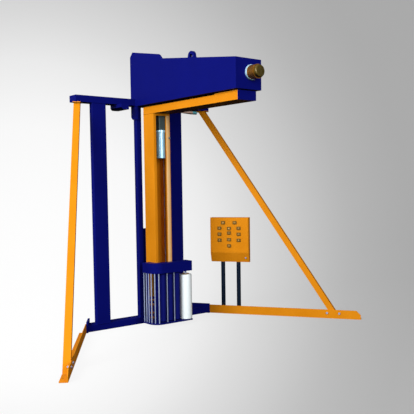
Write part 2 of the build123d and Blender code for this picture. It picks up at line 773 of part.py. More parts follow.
def button(u, z):
    w, h = button_width / 2, button_height / 2
    front = door_v() - door_thickness
    cap = block(u - w, u + w, front - button_depth, front - button_travel - 0.5, z - h, z + h)
    cap = chamfer(cap.edges().group_by(Axis.Y)[0], 1.5)
    stem = block(u - w + 3, u + w - 3, front - button_depth + 2, front + 12, z - h + 3, z + h - 3)
    return leg_plane.location * (cap + stem)


def lock_place():
    """(u, v, z) where the switch's centre line meets the console's sloping band."""
    slope = console_fold_depth / (console_fold_z - console_z)
    return console_u + console_width / 2 - lock_inset, console_face_v + slope * (console_fold_z - lock_z), lock_z


def console_lock():
    """The key switch: a barrel through the sloping band with a thumb piece in front."""
    u, v, z = lock_place()
    barrel = rod_y(u, z, v - 10, v + 14, lock_r)
    return leg_plane.location * (barrel + block(u - 2, u + 2, v - 17, v - 9, z - 8, z + 8))


def console_legs():
    v = -leg_inner_offset + leg_thickness + console_leg_r + 0.2
    half = console_leg_spacing / 2
    legs = []
    for u in (console_u - half, console_u + half):
        tube = rod_z(u, v, leg_thickness, console_z, console_leg_r) - rod_z(u, v, leg_thickness + 4, console_z + 1,
                                                                           console_leg_r - 3)
        legs.append(leg_plane.location * tube)
    return Compound(legs)


# ---- sensor under the top beam -----------------------------------------------------------------------------
def sensor_body():
    y = -sensor_large_r - 3
    cone = Pos(sensor_x + sensor_length / 2, y, sensor_z) * Rot(0, 90, 0) * Cone(
        sensor_small_r, sensor_large_r, sensor_length)
    x1 = sensor_x + sensor_length
    collar = rod_x(y, sensor_z, x1, x1 + sensor_collar_length, sensor_large_r - 4)
    foot = block(sensor_x + 20, sensor_x + 60, y, 0, sensor_z - 5, sensor_z + 5)
    return cone + collar + foot


def sensor_cap():
    x0 = sensor_x + sensor_length + sensor_collar_length
    cap = rod_x(-sensor_large_r - 3, sensor_z, x0, x0 + sensor_cap_length, sensor_cap_r)
    return fillet(cap.edges().filter_by(GeomType.CIRCLE).group_by(Axis.X)[-1], 6)


def all_pieces():
    pieces = {
        "portal_top_beam": top_beam(),
        "portal_bottom_beam": bottom_beam(),
        "left_post": post(left_post_x, post_width, beam_height, top_beam_z),
        "right_post": post(right_post_x, post_width, beam_height, top_beam_z),
        "inner_posts": inner_posts(),
        "column_panel": column_panel(),
        "root_gussets": root_gussets(),
        "under_beam_block": under_beam_block(),
        "cantilever_shell": cantilever_shell(),
        "lifting_lug": lifting_lug(),
        "right_floor_beam": floor_beam(),
        "left_floor_beam": mirrored(floor_beam()),
        "right_brace": brace(),
        "left_brace": mirrored(brace()),
        "frame_bolts": frame_bolts(),
        "slew_bearing_housing": slew_bearing_housing(),
        "slew_gearbox": slew_gearbox(),
        "slew_motor_flange": slew_motor_flange(),
        "slew_motor_barrel": slew_motor_barrel(),
        "slew_motor_cowl": slew_motor_cowl(),
        "slew_drive_sprocket": slew_drive_sprocket(),
        "slew_chain": slew_chain(),
        "sensor_body": sensor_body(),
        "sensor_cap": sensor_cap(),
        "console_box": console_shell(),
        "console_legs": console_legs(),
        "console_door": console_door(),
        "console_lock": console_lock(),
        "arm_beam": arm_beam(),
        "arm_end_plate": arm_end_plate(),
        "slew_shaft": slew_shaft(),
        "mast_channel": mast_channel(),
        "lift_gearbox": lift_gearbox(),
        "lift_motor": lift_motor(),
        "lift_chain": lift_chain(),
        "lift_drive_sprocket": lift_drive_sprocket(),
        "lift_idler_sprocket": lift_idler_sprocket(),
        "carriage_housing": housing(),
        "carriage_base_plate": base_plate(),
        "carriage_back_plate": back_plate(),
        "carriage_upright_rods": upright_rods(),
        "carriage_guide_block": guide_block(),
        "carriage_gearmotor": carriage_gearmotor(),
        "film_spindle": film_spindle(),
        "film_roll": film_roll(),
    }
    for k, x in enumerate(roller_xs, start=1):
        pieces[f"film_roller_{k}"] = film_roller(x)
    for k, (u, z) in enumerate(button_places(), start=1):
        pieces[f"button_{k:02d}"] = button(u, z)
    return pieces


os.makedirs("parts", exist_ok=True)
for name, shape in all_pieces().items():
    export_step(Pos(0, origin_y, 0) * shape, f"parts/{name}.step")
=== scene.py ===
# %% [markdown]
# # Rotary arm pallet wrapper
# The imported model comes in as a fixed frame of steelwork, drives, film carriage and console. This script dresses it:
# first the paint shop (four small node groups that every finish shares), then the pieces that are finer than the
# frame's own solids, such as chain links, the wound film roll, weld beads and the marks on the push buttons, and last
# the floor, the lights and the camera.

# %% Load the frame
import json
import math
import random

import bmesh
import bpy
from mathutils import Matrix, Vector


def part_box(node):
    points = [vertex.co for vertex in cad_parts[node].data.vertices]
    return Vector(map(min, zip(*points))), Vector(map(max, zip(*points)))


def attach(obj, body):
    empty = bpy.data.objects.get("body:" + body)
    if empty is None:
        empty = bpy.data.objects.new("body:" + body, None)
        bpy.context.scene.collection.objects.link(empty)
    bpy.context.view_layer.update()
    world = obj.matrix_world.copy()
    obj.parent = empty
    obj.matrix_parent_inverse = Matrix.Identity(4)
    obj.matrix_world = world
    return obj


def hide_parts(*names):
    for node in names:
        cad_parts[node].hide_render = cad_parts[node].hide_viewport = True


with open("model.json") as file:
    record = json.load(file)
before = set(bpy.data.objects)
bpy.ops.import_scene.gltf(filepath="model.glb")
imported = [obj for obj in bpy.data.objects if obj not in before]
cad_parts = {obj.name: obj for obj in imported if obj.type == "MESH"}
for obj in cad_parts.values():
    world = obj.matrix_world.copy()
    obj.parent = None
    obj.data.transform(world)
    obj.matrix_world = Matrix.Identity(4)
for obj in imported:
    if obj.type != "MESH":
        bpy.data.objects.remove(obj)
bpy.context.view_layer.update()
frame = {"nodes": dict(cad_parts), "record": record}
random.seed(7)
nodes = frame["nodes"]
slot_of = {row["node"]: row["material_slot"] for row in frame["record"]["subparts"]}

# %% [markdown]
# ## Shared node groups
# *edge_wear* compares the true normal with a rounded one, so it is 1 on sharp edges where paint rubs through.
# *grain* gives two scales of uneven colour and a fine height for orange peel or brushing.
# *dust* settles on faces that look up and gathers in patches. The fourth group marks the faces that look down.
# They are painted darker: painted shade, which stands for the shade under a machine this large, which soft studio light
# fills too well.

# %% Node groups
def new_group(name, inputs, outputs):
    group = bpy.data.node_groups.new(name, "ShaderNodeTree")
    for label, kind, value in inputs:
        socket = group.interface.new_socket(label, in_out="INPUT", socket_type=kind)
        socket.default_value = value
    for label, kind in outputs:
        group.interface.new_socket(label, in_out="OUTPUT", socket_type=kind)
    return group, group.nodes.new("NodeGroupInput"), group.nodes.new("NodeGroupOutput")


def add(tree, kind, **values):
    node = tree.nodes.new(kind)
    for key, value in values.items():
        setattr(node, key, value)
    return node


def maths(tree, operation, a, b=None, clamp=False):
    node = add(tree, "ShaderNodeMath", operation=operation, use_clamp=clamp)
    for place, value in enumerate((a, b)):
        if isinstance(value, (int, float)):
            node.inputs[place].default_value = value
        elif value is not None:
            tree.links.new(value, node.inputs[place])
    return node.outputs[0]


def edge_wear_group():
    group, given, result = new_group(
        "edge_wear", [("Radius", "NodeSocketFloat", 0.004), ("Amount", "NodeSocketFloat", 0.5)],
        [("Mask", "NodeSocketFloat")])
    rounded = add(group, "ShaderNodeBevel", samples=4)
    group.links.new(given.outputs["Radius"], rounded.inputs["Radius"])
    shape = add(group, "ShaderNodeNewGeometry")
    dot = add(group, "ShaderNodeVectorMath", operation="DOT_PRODUCT")
    group.links.new(rounded.outputs[0], dot.inputs[0])
    group.links.new(shape.outputs["Normal"], dot.inputs[1])
    sharp = maths(group, "SUBTRACT", 1.0, dot.outputs["Value"], clamp=True)
    place = add(group, "ShaderNodeTexCoord")
    noise = add(group, "ShaderNodeTexNoise")
    noise.inputs["Scale"].default_value = 22.0
    noise.inputs["Detail"].default_value = 6.0
    group.links.new(place.outputs["Object"], noise.inputs["Vector"])
    patchy = maths(group, "SUBTRACT", noise.outputs["Fac"], 0.38, clamp=True)
    patchy = maths(group, "MULTIPLY", patchy, 3.4, clamp=True)
    strength = maths(group, "MULTIPLY", maths(group, "MULTIPLY", sharp, 6.0, clamp=True), patchy)
    group.links.new(maths(group, "MULTIPLY", strength, given.outputs["Amount"], clamp=True), result.inputs["Mask"])
    return group


def grain_group():
    group, given, result = new_group(
        "grain", [("Fine", "NodeSocketFloat", 400.0), ("Stretch", "NodeSocketVector", (1.0, 1.0, 1.0))],
        [("Cloud", "NodeSocketFloat"), ("Height", "NodeSocketFloat")])
    place = add(group, "ShaderNodeTexCoord")
    stretched = add(group, "ShaderNodeVectorMath", operation="MULTIPLY")
    group.links.new(place.outputs["Object"], stretched.inputs[0])
    group.links.new(given.outputs["Stretch"], stretched.inputs[1])
    cloud = add(group, "ShaderNodeTexNoise")
    cloud.inputs["Scale"].default_value = 3.1
    cloud.inputs["Detail"].default_value = 5.0
    group.links.new(place.outputs["Object"], cloud.inputs["Vector"])
    fine = add(group, "ShaderNodeTexNoise")
    fine.inputs["Detail"].default_value = 3.0
    group.links.new(stretched.outputs[0], fine.inputs["Vector"])
    group.links.new(given.outputs["Fine"], fine.inputs["Scale"])
    group.links.new(cloud.outputs["Fac"], result.inputs["Cloud"])
    group.links.new(fine.outputs["Fac"], result.inputs["Height"])
    return group


def dust_group():
    group, given, result = new_group("dust", [("Amount", "NodeSocketFloat", 0.3)], [("Mask", "NodeSocketFloat")])
    shape = add(group, "ShaderNodeNewGeometry")
    split = add(group, "ShaderNodeSeparateXYZ")
    group.links.new(shape.outputs["Normal"], split.inputs[0])
    up = maths(group, "MULTIPLY", maths(group, "SUBTRACT", split.outputs["Z"], 0.55, clamp=True), 2.2, clamp=True)
    place = add(group, "ShaderNodeTexCoord")
    noise = add(group, "ShaderNodeTexNoise")
    noise.inputs["Scale"].default_value = 9.0
    noise.inputs["Detail"].default_value = 8.0
    group.links.new(place.outputs["Object"], noise.inputs["Vector"])
    level = maths(group, "MULTIPLY", up, noise.outputs["Fac"])
    level = maths(group, "MULTIPLY", level, given.outputs["Amount"], clamp=True)
    group.links.new(level, result.inputs["Mask"])
    return group


# Marks the faces that look down, which the finishes paint darker as painted shade.
def painted_shade_below_group():
    group, given, result = new_group("painted_shade_below", [("Amount", "NodeSocketFloat", 0.8)], [("Mask", "NodeSocketFloat")])
    shape = add(group, "ShaderNodeNewGeometry")
    split = add(group, "ShaderNodeSeparateXYZ")
    group.links.new(shape.outputs["Normal"], split.inputs[0])
    down = maths(group, "SUBTRACT", maths(group, "MULTIPLY", split.outputs["Z"], -1.0), 0.25, clamp=True)
    level = maths(group, "MULTIPLY", down, 2.4, clamp=True)
    level = maths(group, "MULTIPLY", level, given.outputs["Amount"], clamp=True)
    group.links.new(level, result.inputs["Mask"])
    return group


edge_wear = edge_wear_group()
grain = grain_group()
dust = dust_group()
painted_shade_below = painted_shade_below_group()
print("groups:", [g.name for g in bpy.data.node_groups])

# %% [markdown]
# ## Finishes
# One recipe covers every hard finish: a base colour clouded towards a second one, painted shade on the faces that look
# down, dust over it, worn edges showing the metal or primer beneath, and a bump from the grain. What changes is
# colours, gloss, grain size and direction.

# %% Finish recipe
def group_node(tree, group, **values):
    node = add(tree, "ShaderNodeGroup", node_tree=group)
    for key, value in values.items():
        node.inputs[key].default_value = value
    return node


def mix(tree, factor, a, b):
    node = add(tree, "ShaderNodeMix", data_type="RGBA")
    for place, value in ((0, factor), (6, a), (7, b)):
        if isinstance(value, (int, float)):
            node.inputs[place].default_value = value
        elif isinstance(value, tuple):
            node.inputs[place].default_value = (*value, 1.0)
        else:
            tree.links.new(value, node.inputs[place])
    return node.outputs[2]


def finish(name, colour, cloudy, worn, rough=0.4, metal=0.0, wear=0.5, dusty=0.25, fine=420.0,
           stretch=(1.0, 1.0, 1.0), bump=0.08, coat=0.0, rough_spread=0.12, ior=1.22):
    material = bpy.data.materials.new(name)
    material.use_nodes = True
    tree = material.node_tree
    shader = tree.nodes["Principled BSDF"]
    surface = group_node(tree, grain, Fine=fine, Stretch=stretch)
    rubbed = group_node(tree, edge_wear, Amount=wear)
    settled = group_node(tree, dust, Amount=dusty)
    cloud = maths(tree, "SUBTRACT", surface.outputs["Cloud"], 0.35, clamp=True)
    cloud = maths(tree, "MULTIPLY", cloud, 2.2, clamp=True)
    painted = mix(tree, cloud, colour, cloudy)
    # Faces that look down are mixed towards a near black of their own colour: painted shade.
    shade = group_node(tree, painted_shade_below, Amount=0.95)
    shaded = mix(tree, shade.outputs["Mask"], painted, tuple(c * 0.05 for c in colour))
    dusted = mix(tree, settled.outputs["Mask"], shaded, tuple(0.7 * c + 0.10 for c in colour))
    tree.links.new(mix(tree, rubbed.outputs["Mask"], dusted, worn), shader.inputs["Base Color"])
    level = maths(tree, "MULTIPLY", surface.outputs["Cloud"], rough_spread * 2)
    level = maths(tree, "ADD", level, rough - rough_spread)
    level = maths(tree, "ADD", level, maths(tree, "MULTIPLY", settled.outputs["Mask"], 0.35), clamp=True)
    tree.links.new(level, shader.inputs["Roughness"])
    relief = add(tree, "ShaderNodeBump")
    relief.inputs["Strength"].default_value = bump
    relief.inputs["Distance"].default_value = 0.001
    tree.links.new(surface.outputs["Height"], relief.inputs["Height"])
    tree.links.new(relief.outputs[0], shader.inputs["Normal"])
    shader.inputs["Metallic"].default_value = metal
    shader.inputs["IOR"].default_value = ior
    shader.inputs["Coat Weight"].default_value = coat
    shader.inputs["Coat Roughness"].default_value = 0.12
    return material


finishes = {
    "blue_paint": finish("blue_enamel", (0.0024, 0.0040, 0.112), (0.0029, 0.0048, 0.130), (0.012, 0.022, 0.20),
                         rough=0.42, wear=0.35, dusty=0.03, bump=0.10, ior=1.07),
    "yellow_paint": finish("yellow_enamel", (0.58, 0.195, 0.005), (0.66, 0.235, 0.009), (0.72, 0.36, 0.07),
                           rough=0.40, wear=0.40, dusty=0.10, bump=0.10, ior=1.07),
    "console_leg_paint": finish("console_leg_enamel", (0.001, 0.006, 0.018), (0.002, 0.010, 0.026),
                                (0.10, 0.12, 0.15), rough=0.38, wear=0.4, dusty=0.1, coat=0.1),
    "steel": finish("turned_steel", (0.40, 0.48, 0.74), (0.52, 0.60, 0.84), (0.80, 0.84, 0.92), rough=0.27,
                    metal=0.45, wear=0.4, dusty=0.1, fine=260.0, stretch=(1.0, 1.0, 0.06), bump=0.12, ior=1.4),
    "motor_bronze": finish("bronze_lacquer", (0.50, 0.185, 0.012), (0.62, 0.30, 0.04), (0.86, 0.62, 0.30), rough=0.22,
                           metal=0.80, wear=0.6, dusty=0.08, fine=300.0, bump=0.08, coat=0.4),
    "motor_cowl_paint": finish("cowl_lacquer", (0.055, 0.040, 0.006), (0.17, 0.11, 0.02), (0.42, 0.34, 0.16),
                               rough=0.26, metal=0.35, wear=0.5, dusty=0.08, coat=0.3),
    "motor_aluminium": finish("cast_aluminium", (0.30, 0.58, 0.78), (0.62, 0.84, 0.92), (0.92, 0.95, 0.97),
                              rough=0.24, metal=0.25, wear=0.5, dusty=0.08, fine=240.0, bump=0.12, ior=1.5),
    "gearbox_paint": finish("gearbox_casting", (0.060, 0.085, 0.088), (0.085, 0.115, 0.115), (0.35, 0.38, 0.38),
                            rough=0.5, metal=0.2, wear=0.5, dusty=0.2, fine=150.0, bump=0.35),
    "film": finish("wound_film", (0.86, 0.95, 0.97), (0.90, 0.97, 0.98), (0.96, 0.98, 0.99), rough=0.26, wear=0.2,
                   dusty=0.0, fine=90.0, stretch=(1.0, 1.0, 14.0), bump=0.10, coat=0.5, rough_spread=0.05),
    "roller_rubber": finish("roller_rubber", (0.0030, 0.0050, 0.105), (0.0036, 0.0060, 0.120), (0.012, 0.02, 0.15),
                            rough=0.5, wear=0.3, ior=1.12, dusty=0.0, fine=160.0, stretch=(1.0, 1.0, 9.0), bump=0.3),
    "button_plastic": finish("button_moulding", (0.14, 0.075, 0.010), (0.17, 0.095, 0.015), (0.30, 0.18, 0.05),
                             rough=0.45, wear=0.5, dusty=0.05, fine=700.0, bump=0.15),
    "sensor_plastic": finish("sensor_housing", (0.62, 0.40, 0.30), (0.78, 0.60, 0.52), (0.9, 0.8, 0.74), rough=0.35,
                             wear=0.3, dusty=0.1),
    "sensor_cap_plastic": finish("sensor_cap_moulding", (0.13, 0.46, 0.52), (0.22, 0.58, 0.64), (0.6, 0.85, 0.88),
                                 rough=0.28, wear=0.3, dusty=0.05, coat=0.3),
}
card = finish("core_card", (0.30, 0.20, 0.11), (0.36, 0.25, 0.15), (0.5, 0.4, 0.3), rough=0.8, wear=0.5, dusty=0.0)
legend = finish("legend_ink", (0.50, 0.27, 0.07), (0.56, 0.32, 0.10), (0.8, 0.55, 0.25), rough=0.5, wear=0.3,
                dusty=0.0)
# A pale finish for the strip on the mast's right lip: a painted highlight.
painted_lip_highlight = finish("painted_lip_highlight_finish", (0.74, 0.42, 0.15), (0.82, 0.54, 0.26), (0.90, 0.74, 0.52), rough=0.3, wear=0.4,
                  dusty=0.05, stretch=(1.0, 1.0, 0.05), ior=1.3)
zinc = finish("zinc_plate", (0.60, 0.62, 0.62), (0.74, 0.75, 0.74), (0.85, 0.85, 0.86), rough=0.3, metal=1.0,
              wear=0.3, dusty=0.1)
print("finishes:", len(finishes) + 4)

# %% [markdown]
# ## Dress the frame's own solids
# Every solid takes the finish of its slot. A narrow bevel softens the machined edges so that they catch light.

# %% Finishes and soft edges on the frame's solids
edge_width = {"blue_paint": 0.0025, "yellow_paint": 0.002, "console_leg_paint": 0.001}
for name, solid in nodes.items():
    solid.data.materials.clear()
    solid.data.materials.append(finishes[slot_of[name]])
    bevel = solid.modifiers.new("soft_edges", "BEVEL")
    bevel.width = edge_width.get(slot_of[name], 0.0008)
    bevel.segments = 2
    bevel.limit_method = "ANGLE"
    bevel.angle_limit = math.radians(40)
    bevel.use_clamp_overlap = True
print("solids dressed:", len(nodes))

# %% [markdown]
# ## Tools for the finer pieces
# Each piece is one mesh, built from points in metres in the frame's own axes.

# %% Mesh helpers
def piece(name, mesh_maker, material, body, smooth=True, replaces=()):
    mesh = bpy.data.meshes.new(name)
    bm = bmesh.new()
    mesh_maker(bm)
    bmesh.ops.recalc_face_normals(bm, faces=bm.faces)
    bm.to_mesh(mesh)
    bm.free()
    made = bpy.data.objects.new(name, mesh)
    bpy.context.scene.collection.objects.link(made)
    for each in (material if isinstance(material, (list, tuple)) else [material]):
        mesh.materials.append(each)
    if smooth:
        mesh.shade_smooth()
        mesh.set_sharp_from_angle(angle=math.radians(38))
    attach(made, body)
    if replaces:
        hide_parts(*replaces)
    return made


def lathe(bm, profile, matrix, steps=64, material=0):
    """Turns (radius, height) points about Z, then places the result."""
    rings = []
    for radius, height in profile:
        ring = []
        for k in range(steps):
            a = 2 * math.pi * k / steps
            ring.append(bm.verts.new(matrix @ Vector((radius * math.cos(a), radius * math.sin(a), height))))
        rings.append(ring)
    for low, high in zip(rings, rings[1:]):
        for k in range(steps):
            face = bm.faces.new((low[k], low[(k + 1) % steps], high[(k + 1) % steps], high[k]))
            face.material_index = material
    return rings


def cap(bm, ring, material=0):
    face = bm.faces.new(ring)
    face.material_index = material


def hex_head(bm, centre, axis, across=0.024, height=0.010):
    """A hexagon head with a chamfered crown and a washer, standing on centre along axis."""
    turn = axis.to_track_quat("Z", "Y").to_matrix().to_4x4()
    place = Matrix.Translation(centre) @ turn
    r = across / math.sqrt(3)
    rings = lathe(bm, [(r, 0.0), (r, height * 0.8), (r * 0.86, height)], place, steps=6)
    cap(bm, rings[-1])
    lathe(bm, [(r * 1.25, 0.0), (r * 1.25, height * 0.18), (r * 0.9, height * 0.18)], place, steps=24)


def bead(bm, start, end, radius=0.004):
    """A weld bead: a ripple of overlapping scales along a line."""
    start, end = Vector(start), Vector(end)
    run = end - start
    turn = run.to_track_quat("Z", "Y").to_matrix().to_4x4()
    place = Matrix.Translation(start) @ turn
    count = max(4, int(run.length / 0.006))
    profile = [(radius * (0.75 + 0.25 * abs(math.sin(k * 1.9)) + random.uniform(-0.06, 0.06)), run.length * k / count)
               for k in range(count + 1)]
    rings = lathe(bm, profile, place, steps=8)
    cap(bm, rings[0])
    cap(bm, rings[-1])


def centre_of(name):
    low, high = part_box(name)
    return [(a + b) / 2 for a, b in zip(low, high)]


# %% [markdown]
# ## Roller chains
# The frame carries each chain as one smooth band. Here the band becomes links: paired side plates shaped like a figure
# of eight, a roller at each pitch, laid round the two wheels. The links are drawn at rest and don't run.

# %% Chain links
def chain_path(big, small, gap, pitch):
    """Evenly spaced (position, heading) places round two wheels, the second one gap along +X."""
    lean = math.acos((big - small) / gap)
    straight = math.sqrt(gap ** 2 - (big - small) ** 2)
    around_big, around_small = 2 * (math.pi - lean) * big, 2 * lean * small
    total = 2 * straight + around_big + around_small
    count = int(total / pitch) // 2 * 2
    places = []
    for k in range(count):
        s = total * k / count
        if s < straight:
            a = lean
            x = big * math.cos(a) + s * math.sin(a)
            y = big * math.sin(a) - s * math.cos(a)
        elif s < straight + around_small:
            a = lean - (s - straight) / small
            x, y = gap + small * math.cos(a), small * math.sin(a)
        elif s < 2 * straight + around_small:
            d = s - straight - around_small
            a = -lean
            x = gap + small * math.cos(a) - d * math.sin(lean)
            y = small * math.sin(a) - d * math.cos(lean)
        else:
            a = -lean - (s - 2 * straight - around_small) / big
            x, y = big * math.cos(a), big * math.sin(a)
        places.append((x, y, a - math.pi / 2))
    return places, total / count


def chain(bm, big, small, gap, width, place):
    """Half-inch chain: a roller at each pitch, and two plates whose ends are half circles."""
    places, step = chain_path(big, small, gap, pitch=0.0127)
    plate_r, roller_r, plate_thick = 0.0045, 0.0038, 0.0011
    half_turn = 6
    for k, (x, y, head) in enumerate(places):
        spin = Matrix.Translation((x, y, 0)) @ Matrix.Rotation(head, 4, "Z")
        rings = lathe(bm, [(0.0, -width / 2), (roller_r, -width / 2), (roller_r, width / 2), (0.0, width / 2)],
                      place @ spin, steps=8)
        outer = width / 2 if k % 2 else width / 2 - 0.0012
        for side in (-1, 1):
            z0, z1 = side * outer, side * (outer - plate_thick)
            outline = []
            for forward, start in ((step, math.pi / 2), (0.0, 3 * math.pi / 2)):
                for t in range(half_turn):
                    turn = start - math.pi * t / (half_turn - 1)
                    outline.append((forward + plate_r * math.cos(turn), plate_r * math.sin(turn)))
            low = [bm.verts.new(place @ spin @ Vector((px, py, z0))) for px, py in outline]
            high = [bm.verts.new(place @ spin @ Vector((px, py, z1))) for px, py in outline]
            bm.faces.new(low)
            bm.faces.new(high)
            for t in range(len(outline)):
                after = (t + 1) % len(outline)
                bm.faces.new((low[t], low[after], high[after], high[t]))


link_half = 0.004
low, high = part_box("lift_chain")
lift_r = (high[1] - low[1]) / 2 - link_half
lift_mid = centre_of("lift_chain")
lift_gap = (high[2] - low[2]) - 2 * (lift_r + link_half)
turn_down = Matrix(((0, 0, 1), (0, 1, 0), (-1, 0, 0))).to_4x4()
lift_place = Matrix.Translation((lift_mid[0], lift_mid[1], high[2] - lift_r - link_half)) @ turn_down
piece("lift_chain_links", lambda bm: chain(bm, lift_r, lift_r * 0.9999, lift_gap, 0.0058, lift_place),
      finishes["steel"], "arm", replaces=("lift_chain",))
low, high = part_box("slew_chain")
slew_r = (high[0] - low[0]) / 2 - link_half
pinion_r = slew_r - 0.042
slew_gap = high[1] - low[1] - (slew_r + link_half) - (pinion_r + link_half)
slew_place = (Matrix.Translation((0, high[1] - slew_r - link_half, (low[2] + high[2]) / 2))
              @ Matrix.Rotation(-math.pi / 2, 4, "Z"))
piece("slew_chain_links", lambda bm: chain(bm, slew_r, pinion_r, slew_gap, 0.0078, slew_place),
      finishes["steel"], "frame", replaces=("slew_chain",))
print("chain loops in metres:", round(lift_gap, 3), round(slew_gap, 3))

# %% [markdown]
# ## Film roll
# A card core stands a little proud of the wound film. The ends show the winding as fine steps and the outside has the
# slight swell and the faint rings that stretch film has.

# %% Wound film and core
low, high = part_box("film_roll")
film_mid = centre_of("film_roll")
film_r = (high[0] - low[0]) / 2
core_top = high[2]
film_low, film_high = low[2], core_top - 0.012


def film_mesh(bm):
    """The wound film, then the card core that stands proud of it, then the plug that fits the spindle."""
    place = Matrix.Translation((film_mid[0], film_mid[1], 0.0))
    core_out, core_in = 0.0405, 0.0382
    turns, rings, winding_step = 9, 40, 0.0015
    radii = [core_out + (film_r - 0.002 - core_out) * k / turns for k in range(turns + 1)]
    profile = [(core_out, film_low)]
    for k, r in enumerate(radii):
        profile += [(r, film_low + winding_step * (k % 2)),
                    (min(r + 0.001, film_r - 0.001), film_low + winding_step * ((k + 1) % 2))]
    for k in range(rings + 1):
        z = film_low + 0.004 + (film_high - film_low - 0.008) * k / rings
        profile.append((film_r - 0.0006 + 0.0004 * math.sin(k * 1.7) + 0.0002 * math.sin(k * 0.6), z))
    for k, r in reversed(list(enumerate(radii))):
        profile += [(min(r + 0.001, film_r - 0.001), film_high - winding_step * ((k + 1) % 2)),
                    (r, film_high - winding_step * (k % 2))]
    lathe(bm, profile, place, steps=96)
    lathe(bm, [(core_out, film_high - 0.02), (core_out, core_top - 0.001), (core_in + 0.0003, core_top),
               (core_in, film_high - 0.03)], place, steps=64, material=1)
    plug = [(0.0124, core_top - 0.004), (0.0340, core_top - 0.004), (0.0375, core_top - 0.008),
            (0.0380, film_high - 0.028), (0.0124, film_high - 0.028)]
    lathe(bm, plug, place, steps=48, material=2)


piece("film_roll_wound", film_mesh, [finishes["film"], card, finishes["console_leg_paint"]], "film",
      replaces=("film_roll",))
print("film roll radius and height:", round(film_r, 3), round(film_high - film_low, 3))

# %% [markdown]
# ## Weld beads
# The posts, beams, gussets and brace plates are welded, so a rippled bead runs along each seam that can be seen.

# %% Weld beads
def post_seams(bm, name, floor, top):
    """Beads across a post's front and along both its sides, at the bottom beam and at the top beam."""
    low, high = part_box(name)
    for z in (floor, top):
        bead(bm, (low[0], low[1] - 0.001, z), (high[0], low[1] - 0.001, z))
        bead(bm, (low[0] - 0.001, low[1], z), (low[0] - 0.001, high[1], z))
        bead(bm, (high[0] + 0.001, low[1], z), (high[0] + 0.001, high[1], z))


def frame_beads(bm):
    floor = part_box("left_post")[0][2] + 0.001
    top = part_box("left_post")[1][2] - 0.001
    post_seams(bm, "left_post", floor, top)
    post_seams(bm, "right_post", floor, top)
    low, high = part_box("root_gussets")
    for x in (low[0] - 0.0005, high[0] + 0.0005):
        bead(bm, (x, low[1], high[2]), (x, high[1], high[2]))
    low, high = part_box("under_beam_block")
    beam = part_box("portal_top_beam")[0]
    bead(bm, (low[0], beam[1] - 0.001, high[2] - 0.001), (high[0], beam[1] - 0.001, high[2] - 0.001))
    low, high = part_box("lifting_lug")
    for x in (low[0], high[0]):
        bead(bm, (x, low[1] + 0.004, low[2] + 0.002), (x, high[1] - 0.004, low[2] + 0.020))


piece("frame_weld_beads", frame_beads, finishes["blue_paint"], "frame")


def arm_beads(bm):
    low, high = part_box("mast_channel")
    for x in (low[0] - 0.0005, high[0] + 0.0005):
        bead(bm, (x, low[1], high[2]), (x, high[1], high[2]), radius=0.003)
    bead(bm, (low[0], low[1] - 0.0005, high[2]), (high[0], low[1] - 0.0005, high[2]), radius=0.003)
    low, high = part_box("arm_end_plate")
    for x in (low[0], high[0]):
        bead(bm, (x, high[1], low[2]), (x, high[1], high[2]), radius=0.003)


piece("arm_weld_beads", arm_beads, finishes["yellow_paint"], "arm")
print("weld beads done")

# %% [markdown]
# ## Fasteners
# Screws round the slew motor's flange, one plated bolt on the mast's right lip, a pale strip along that lip that is a
# painted highlight, and the screws of the carriage's cover.

# %% Screws and bolts
to_front = Vector((0, -1, 0))


def motor_screws(bm):
    low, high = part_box("slew_motor_flange")
    mid = centre_of("slew_motor_flange")
    r = (high[0] - low[0]) / 2 - 0.006
    screws = 8
    for k in range(screws):
        a = 2 * math.pi * (k + 0.5) / screws
        hex_head(bm, Vector((mid[0] + r * math.cos(a), low[1] + 0.002, mid[2] + r * math.sin(a))), to_front,
                 across=0.008, height=0.004)


piece("motor_flange_screws", motor_screws, zinc, "frame")


bolt_height = 2.085


def mast_bolt(bm):
    low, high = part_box("mast_channel")
    hex_head(bm, Vector((high[0] - 0.009, low[1], bolt_height)), to_front, across=0.020, height=0.009)


piece("mast_lip_bolt", mast_bolt, zinc, "arm")


def painted_highlight_strip(bm):
    """A pale strip along the mast's right lip: a painted highlight."""
    low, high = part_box("mast_channel")
    left, right, front = high[0] - 0.050, high[0] - 0.005, low[1]
    steps = 60
    rows = []
    for k in range(steps + 1):
        z = low[2] + 0.02 + (high[2] - low[2] - 0.04) * k / steps
        sway = 0.0012 * math.sin(k * 0.7) + random.uniform(-0.0006, 0.0006)
        across = ((left + sway, front + 0.0004, z), (left + 0.002 + sway, front - 0.0006, z),
                  (right - 0.002, front - 0.0006, z), (right, front + 0.0004, z))
        rows.append([bm.verts.new(p) for p in across])
    for low_row, high_row in zip(rows, rows[1:]):
        for k in range(3):
            bm.faces.new((low_row[k], low_row[k + 1], high_row[k + 1], high_row[k]))


# The pale strip on the mast's right lip is a painted highlight.
piece("mast_lip_painted_highlight", painted_highlight_strip, painted_lip_highlight, "arm")


def carriage_screws(bm):
    low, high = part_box("carriage_housing")
    for x in (-0.06, 0.04, 0.14, 0.24):
        for z in (low[2] + 0.012, high[2] - 0.012):
            hex_head(bm, Vector((x, low[1], z)), to_front, across=0.008, height=0.004)


piece("carriage_cover_screws", carriage_screws, finishes["blue_paint"], "carriage")
print("fasteners done")

# %% [markdown]
# ## Marks on the push buttons
# Each cap carries one plain raised mark: a bar, two upright bars, two lines, an arrow or a square. They move with their
# buttons. The marks stand for no real function.

# %% Button marks
door_turn = math.radians(33.2)
along = Vector((math.sin(door_turn), -math.cos(door_turn), 0))
out = Vector((-math.cos(door_turn), -math.sin(door_turn), 0))
up = Vector((0, 0, 1))


